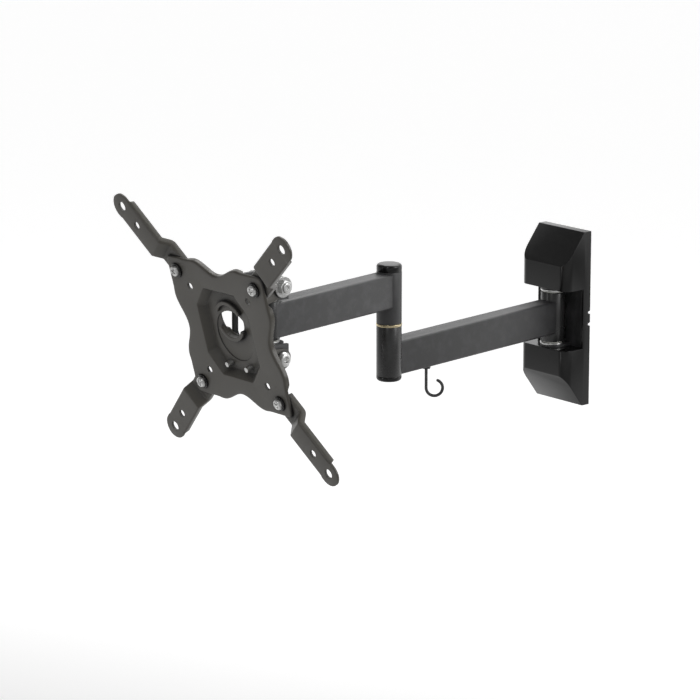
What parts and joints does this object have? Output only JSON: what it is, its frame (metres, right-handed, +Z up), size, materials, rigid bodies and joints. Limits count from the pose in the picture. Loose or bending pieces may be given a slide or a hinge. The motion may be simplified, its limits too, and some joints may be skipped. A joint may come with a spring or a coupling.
{
  "type": "television wall mount",
  "caption": "Full motion screen wall mount: covered wall plate, folding box-section arms, swivelling and tilting head, pressed plate with swing-out extension arms.",
  "frame": {"origin": "middle of the wall plate's back face, where it lies on the wall", "axes": "+Y into the wall, -Y out towards the screen, +Z up, +X along the wall to the right when facing it"},
  "size_m": [0.2262, 0.4605, 0.2367],
  "materials": {
    "powder_coat": "satin fine-textured black powder coat",
    "sheet_coat": "smooth satin warm black paint on pressed sheet",
    "gloss_plastic": "glossy black moulded plastic",
    "zinc": "bright zinc plate",
    "nylon": "plain nylon",
    "brass": "turned brass"
  },
  "bodies": {
    "wall": {"wall_plate": "powder_coat", "pivot_bracket": "powder_coat", "bracket_rivets": "zinc", "wall_cover": "gloss_plastic", "wall_pivot_bolt": "zinc", "wall_pivot_nut": "zinc", "wall_washers": "zinc"},
    "rear_arm": {"rear_arm_tube": "powder_coat", "wall_barrel": "powder_coat", "wall_bushes": "nylon", "lower_elbow_barrel": "powder_coat", "lower_elbow_cap": "gloss_plastic", "elbow_pin": "zinc", "elbow_nut": "zinc", "elbow_ring": "brass", "cable_hook": "powder_coat", "hook_nut": "powder_coat"},
    "front_arm": {"front_arm_tube": "powder_coat", "upper_elbow_barrel": "powder_coat", "upper_elbow_cap": "gloss_plastic", "elbow_bushes": "nylon", "swivel_barrel": "powder_coat", "swivel_bushes": "nylon"},
    "yoke": {"swivel_yoke": "powder_coat", "swivel_pin": "zinc", "swivel_nut": "zinc", "swivel_washers": "zinc", "tilt_bolt": "zinc", "tilt_washer": "zinc", "tilt_nut": "zinc"},
    "head": {"tilt_bracket": "sheet_coat", "lock_bolt": "zinc", "lock_nut": "zinc", "bracket_screws": "zinc", "screen_plate": "sheet_coat", "corner_screws": "zinc", "corner_washers": "gloss_plastic", "corner_nuts": "zinc"},
    "extension_1": {"extension_arm_1": "sheet_coat"},
    "extension_2": {"extension_arm_2": "sheet_coat"},
    "extension_3": {"extension_arm_3": "sheet_coat"},
    "extension_4": {"extension_arm_4": "sheet_coat"}
  },
  "joints": [
    {"name": "wall_pivot", "type": "hinge", "parent": "wall", "child": "rear_arm", "pos_m": [0, -0.0178, 0], "axis": [0, 0, 1], "range_deg": [-95, 80]},
    {"name": "elbow", "type": "hinge", "parent": "rear_arm", "child": "front_arm", "pos_m": [0.02783, -0.23502, 0], "axis": [0, 0, -1], "range_deg": [-130, 130]},
    {"name": "head_swivel", "type": "hinge", "parent": "front_arm", "child": "yoke", "pos_m": [0.05213, -0.38507, 0.0589], "axis": [0, 0, 1], "range_deg": [-80.8, 99.2]},
    {"name": "head_tilt", "type": "hinge", "parent": "yoke", "child": "head", "pos_m": [0.05213, -0.38507, 0.0889], "axis": [1, 0, 0], "range_deg": [-15, 0]},
    {"name": "extension_swing_1", "type": "hinge", "parent": "head", "child": "extension_1", "pos_m": [0.10213, -0.44001, 0.0995], "axis": [0, -0.9659, -0.2588], "range_deg": [-40, 50]},
    {"name": "extension_swing_2", "type": "hinge", "parent": "head", "child": "extension_2", "pos_m": [0.00213, -0.44001, 0.0995], "axis": [0, -0.9659, -0.2588], "range_deg": [-45, 45]},
    {"name": "extension_swing_3", "type": "hinge", "parent": "head", "child": "extension_3", "pos_m": [0.00213, -0.41413, 0.0029], "axis": [0, -0.9659, -0.2588], "range_deg": [-45, 45]},
    {"name": "extension_swing_4", "type": "hinge", "parent": "head", "child": "extension_4", "pos_m": [0.10213, -0.41413, 0.0029], "axis": [0, -0.9659, -0.2588], "range_deg": [-45, 45]}
  ]
}
